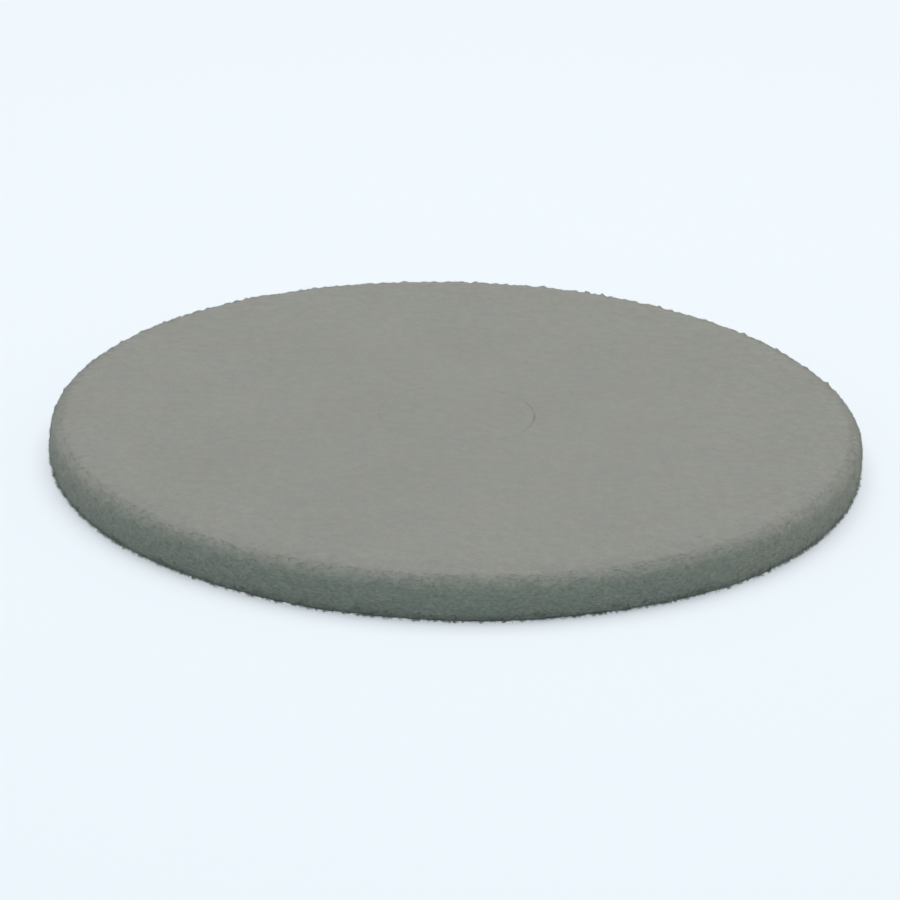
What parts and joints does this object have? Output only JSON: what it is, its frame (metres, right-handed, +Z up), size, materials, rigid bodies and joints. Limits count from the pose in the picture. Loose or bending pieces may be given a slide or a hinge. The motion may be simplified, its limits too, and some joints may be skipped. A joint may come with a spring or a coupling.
{
  "type": "felt polishing disc",
  "caption": "Thick round grey felt polishing disc with softly rounded edges and a die-cut centre plug that knocks out, held on a rotary or flat-lap polishing machine's gripping driver plate.",
  "frame": {"origin": "centre of the underside, the face the disc lies on", "axes": "+Z up through the disc's thickness, out of its upper face; X and Y lie in the disc and are interchangeable"},
  "size_m": [0.4317, 0.4318, 0.0254],
  "materials": {
    "felt": "matte"
  },
  "bodies": {
    "disc": {"felt_ring": "felt"},
    "plug": {"centre_plug": "felt"}
  },
  "joints": [
    {"name": "plug_knock_out", "type": "slide", "parent": "disc", "child": "plug", "axis": [0, 0, 1], "range_m": [0, 0.045]}
  ]
}
